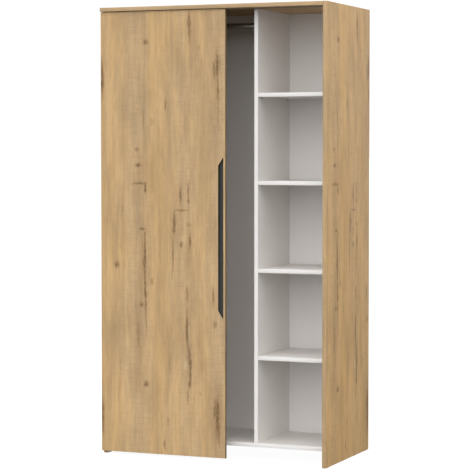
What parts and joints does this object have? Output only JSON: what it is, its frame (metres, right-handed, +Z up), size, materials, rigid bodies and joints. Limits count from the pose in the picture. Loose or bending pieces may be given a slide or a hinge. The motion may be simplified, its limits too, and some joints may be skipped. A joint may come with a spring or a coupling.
{
  "type": "wardrobe",
  "caption": "Tall wardrobe with a sliding door over a hanging bay and an open column of niches, in oak and white board with a recessed black handle.",
  "frame": {"origin": "on the floor, under the middle of the body's outer box", "axes": "+Z up, the front faces -Y, +X to the right as one faces the front"},
  "size_m": [1.09, 0.585, 2.03],
  "materials": {
    "oak_board": "matt oak-decor melamine on chipboard",
    "oak_edge": "matt oak-decor edge strip",
    "white_board": "matt white melamine on chipboard",
    "white_edge": "matt white edge strip",
    "white_hardboard": "painted white hardboard",
    "zinc_steel": "zinc plated",
    "chromed_steel": "chromed tube and sockets",
    "pressed_steel": "dark powder coat",
    "bronze_aluminium": "bronze anodised",
    "black_rubber": "black",
    "black_handle": "fine matt black",
    "nylon": "natural white",
    "cast_zinc": "bare zinc casting",
    "beech": "ribbed beech"
  },
  "bodies": {
    "carcass": {"top_panel": "oak_board", "top_edge_strips": "oak_edge", "left_side": "oak_board", "left_side_strip": "oak_edge", "right_side": "oak_board", "right_side_strip": "oak_edge", "base_panel": "white_board", "base_strip": "white_edge", "divider": "white_board", "divider_strip": "white_edge", "back_panel_left": "white_hardboard", "back_panel_right": "white_hardboard", "rear_rail_top": "white_board", "rear_rail_bottom": "white_board", "shelf_1": "white_board", "shelf_2": "white_board", "shelf_3": "white_board", "shelf_4": "white_board", "shelf_strips": "white_edge", "shelf_pins": "zinc_steel", "hanging_rod": "chromed_steel", "rod_socket_left": "chromed_steel", "rod_socket_right": "chromed_steel", "rod_socket_screws": "zinc_steel", "top_track": "bronze_aluminium", "track_screws": "zinc_steel", "track_stop_left": "black_rubber", "track_stop_right": "black_rubber", "stop_screws": "zinc_steel", "guide_bracket": "pressed_steel", "guide_shoe": "nylon", "guide_screws": "zinc_steel", "cam_locks": "cast_zinc", "cam_bolts": "zinc_steel", "wooden_dowels": "beech", "back_nails": "zinc_steel", "floor_glides": "nylon"},
    "door": {"door_panel": "oak_board", "door_edge_strips": "oak_edge", "handle_shell": "black_handle", "hanger_left": "pressed_steel", "hanger_right": "pressed_steel", "hanger_screws": "zinc_steel", "roller_axles": "zinc_steel", "guide_channel": "bronze_aluminium", "channel_screws": "zinc_steel"},
    "roller_pair_left": {"roller_left": "nylon"},
    "roller_pair_right": {"roller_right": "nylon"}
  },
  "joints": [
    {"name": "door_slide", "type": "slide", "parent": "carcass", "child": "door", "axis": [1, 0, 0], "range_m": [0, 0.458]},
    {"name": "roller_left_spin", "type": "hinge", "parent": "door", "child": "roller_pair_left", "pos_m": [-0.475, -0.2455, 2.0156], "axis": [0, 1, 0], "continuous": true},
    {"name": "roller_right_spin", "type": "hinge", "parent": "door", "child": "roller_pair_right", "pos_m": [-0.003, -0.2455, 2.0156], "axis": [0, 1, 0], "continuous": true}
  ],
  "couplings": [
    {"joint": "roller_left_spin", "follows": "door_slide", "rad_per_m": 181.82},
    {"joint": "roller_right_spin", "follows": "door_slide", "rad_per_m": 181.82}
  ]
}
